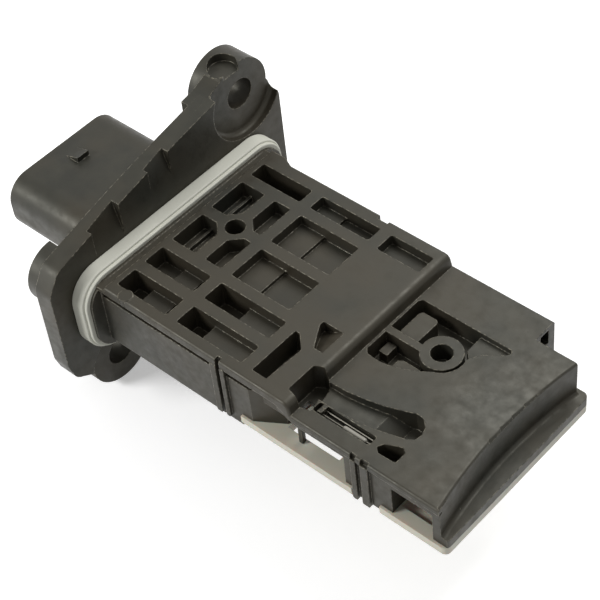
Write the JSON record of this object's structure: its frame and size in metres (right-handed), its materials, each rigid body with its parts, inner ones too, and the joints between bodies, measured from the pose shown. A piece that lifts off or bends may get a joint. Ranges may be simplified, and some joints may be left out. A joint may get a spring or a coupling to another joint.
{
  "type": "mass airflow sensor",
  "caption": "Plug-in airflow sensor: oblong flange with two diagonal screw ears, sealed neck, flat cored insert with air windows, and a connector shroud behind.",
  "frame": {"origin": "midway between the two screw holes, in the plane that the ears rest on", "axes": "+X along the insert, into the duct; +Z towards the cored side; +Y across the insert, away from the side with the air windows"},
  "size_m": [0.0943, 0.0508, 0.0425],
  "materials": {
    "moulded_black": "satin black moulding, faintly brown",
    "lid_black": "satin black lid",
    "cover_plastic": "pale, slightly translucent moulding",
    "ring_rubber": "matte pale grey rubber",
    "base_metal": "stamped sheet",
    "board_green": "green board",
    "carrier_plastic": "black moulding",
    "chip_silicon": "polished dark silicon",
    "bead_glass": "clear glass bead",
    "lead_metal": "fine bright wire",
    "terminal_metal": "tinned blade",
    "chip_black": "black moulded body",
    "ceramic_tan": "tan ceramic"
  },
  "bodies": {
    "root": {"housing": "moulded_black", "seal_ring": "ring_rubber", "bypass_cover": "cover_plastic", "electronics_cover": "lid_black", "base_plate": "base_metal", "circuit_board": "board_green", "chip_carrier": "carrier_plastic", "sensor_chip": "chip_silicon", "thermistor_bead": "bead_glass", "thermistor_lead_1": "lead_metal", "thermistor_lead_2": "lead_metal", "terminal_1": "terminal_metal", "terminal_2": "terminal_metal", "terminal_3": "terminal_metal", "terminal_4": "terminal_metal", "terminal_5": "terminal_metal", "processor_chip": "chip_black", "regulator_chip": "chip_black", "capacitor_1": "ceramic_tan", "capacitor_2": "ceramic_tan", "capacitor_3": "ceramic_tan", "capacitor_4": "ceramic_tan", "resistor_1": "chip_black", "resistor_2": "chip_black"}
  },
  "joints": []
}
